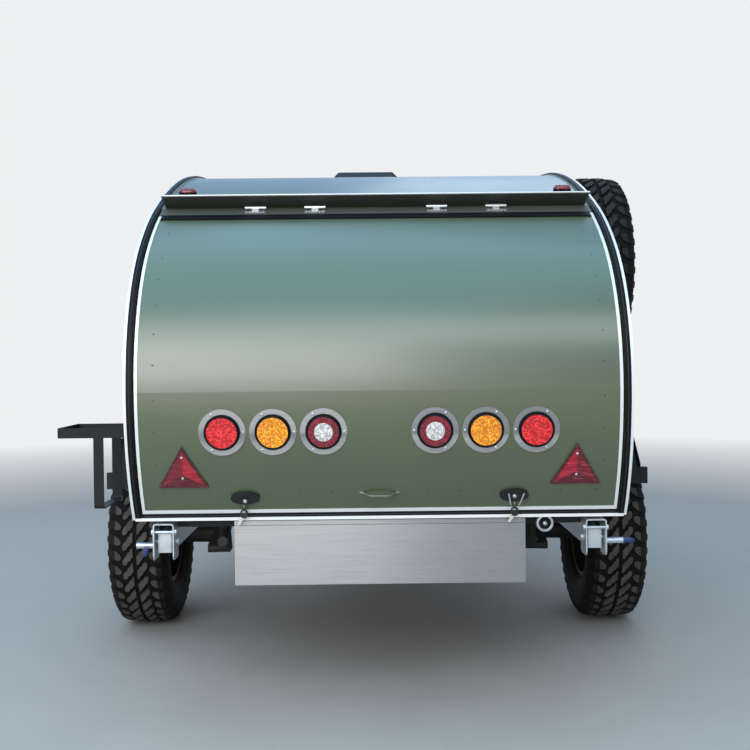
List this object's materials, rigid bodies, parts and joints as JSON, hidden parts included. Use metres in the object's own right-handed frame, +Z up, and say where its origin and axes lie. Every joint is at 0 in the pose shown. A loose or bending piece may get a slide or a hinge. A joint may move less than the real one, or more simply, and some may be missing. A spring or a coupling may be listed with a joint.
{
  "type": "off-road teardrop trailer",
  "caption": "Small off-road teardrop camping trailer with a rear galley hatch, side doors, spare wheel, drop legs and a jockey wheel.",
  "frame": {"origin": "on the ground under the middle of the whole trailer", "axes": "+X to the right seen from behind, +Y forward towards the coupling, +Z up"},
  "size_m": [2.145, 4.1787, 1.9644],
  "materials": {
    "body_green": "satin",
    "black_steel": "satin",
    "floor_board": "satin",
    "silver_trim": "satin",
    "black_rubber": "matte",
    "red_lens": "gloss",
    "amber_lens": "gloss",
    "clear_lens": "gloss",
    "stainless": "brushed",
    "zinc": "satin",
    "black_plastic": "satin",
    "hinge_steel": "satin",
    "tyre_rubber": "matte",
    "rim_paint": "satin",
    "dark_glass": "gloss",
    "checker_plate": "satin",
    "pipe_grey": "satin"
  },
  "bodies": {
    "trailer": {"chassis_frame": "black_steel", "drawbar": "black_steel", "ball_coupling": "black_steel", "floor_panel": "floor_board", "side_wall_left": "body_green", "side_wall_right": "body_green", "roof_shell": "body_green", "galley_unit": "floor_board", "edge_trims": "silver_trim", "edge_seals": "black_rubber", "rain_visor": "silver_trim", "marker_lamps": "red_lens", "vent_frame": "black_plastic", "fenders": "black_steel", "jerry_can_holder": "black_steel", "spare_carrier": "black_steel", "spare_tyre": "tyre_rubber", "spare_rim": "rim_paint", "water_tank": "stainless", "drain_fitting": "pipe_grey", "trailing_arms": "black_steel", "coil_springs": "black_steel", "shock_absorbers": "black_steel", "leg_brackets": "zinc", "front_toolbox": "checker_plate", "hatch_hinge_posts": "hinge_steel", "door_hinge_posts": "black_plastic", "jack_sleeve": "zinc"},
    "hatch": {"hatch_shell": "body_green", "hatch_trim": "silver_trim", "hatch_top_rail": "body_green", "hatch_seal_line": "black_rubber", "hatch_hinge_leaves": "hinge_steel", "lamp_flanges": "stainless", "lamp_gaskets": "black_rubber", "lamp_lenses_red": "red_lens", "lamp_lenses_amber": "amber_lens", "lamp_lenses_clear": "clear_lens", "reflector_triangles": "red_lens", "hatch_latches": "black_plastic", "hatch_handle": "body_green"},
    "door_left": {"door_left": "body_green", "door_glass_left": "dark_glass", "door_fittings_left": "black_plastic"},
    "door_right": {"door_right": "body_green", "door_glass_right": "dark_glass", "door_fittings_right": "black_plastic"},
    "wheel_left": {"tyre_left": "tyre_rubber", "rim_left": "rim_paint", "hub_left": "rim_paint"},
    "wheel_right": {"tyre_right": "tyre_rubber", "rim_right": "rim_paint", "hub_right": "rim_paint"},
    "leg_left": {"leg_left": "zinc"},
    "leg_right": {"leg_right": "zinc"},
    "toolbox_lid": {"toolbox_lid": "checker_plate"},
    "vent_lid": {"vent_lid": "black_plastic"},
    "jack_tube": {"jack_tube": "zinc"},
    "jockey_fork": {"jockey_fork": "black_steel"},
    "jockey_wheel": {"jockey_wheel": "black_rubber"}
  },
  "joints": [
    {"name": "hatch_lift", "type": "hinge", "parent": "trailer", "child": "hatch", "pos_m": [0, -1.6355, 1.61554], "axis": [-1, 0, 0], "range_deg": [0, 72]},
    {"name": "door_left_swing", "type": "hinge", "parent": "trailer", "child": "door_left", "pos_m": [-0.758, 0.4195, 1.14], "axis": [0, 0, -1], "range_deg": [0, 100]},
    {"name": "door_right_swing", "type": "hinge", "parent": "trailer", "child": "door_right", "pos_m": [0.758, 0.4195, 1.14], "axis": [0, 0, 1], "range_deg": [0, 100]},
    {"name": "wheel_left_spin", "type": "hinge", "parent": "trailer", "child": "wheel_left", "pos_m": [-0.955, -0.7305, 0.3665], "axis": [-1, 0, 0], "continuous": true},
    {"name": "wheel_right_spin", "type": "hinge", "parent": "trailer", "child": "wheel_right", "pos_m": [0.955, -0.7305, 0.3665], "axis": [-1, 0, 0], "continuous": true},
    {"name": "leg_left_drop", "type": "hinge", "parent": "trailer", "child": "leg_left", "pos_m": [-0.66, -1.9285, 0.545], "axis": [-1, 0, 0], "range_deg": [0, 90]},
    {"name": "leg_right_drop", "type": "hinge", "parent": "trailer", "child": "leg_right", "pos_m": [0.66, -1.9285, 0.545], "axis": [-1, 0, 0], "range_deg": [0, 90]},
    {"name": "toolbox_lid_lift", "type": "hinge", "parent": "trailer", "child": "toolbox_lid", "pos_m": [0, 0.9235, 0.9053], "axis": [1, 0, 0], "range_deg": [0, 80]},
    {"name": "vent_lid_lift", "type": "hinge", "parent": "trailer", "child": "vent_lid", "pos_m": [-0.035, -0.0905, 1.9284], "axis": [-1, 0, 0], "range_deg": [0, 40]},
    {"name": "jack_slide", "type": "slide", "parent": "trailer", "child": "jack_tube", "axis": [0, 0, 1], "range_m": [-0.08, 0.13]},
    {"name": "jockey_swivel", "type": "hinge", "parent": "jack_tube", "child": "jockey_fork", "pos_m": [0, 1.6495, 0.24], "axis": [0, 0, 1], "continuous": true},
    {"name": "jockey_spin", "type": "hinge", "parent": "jockey_fork", "child": "jockey_wheel", "pos_m": [0, 1.5945, 0.1], "axis": [-1, 0, 0], "continuous": true}
  ]
}
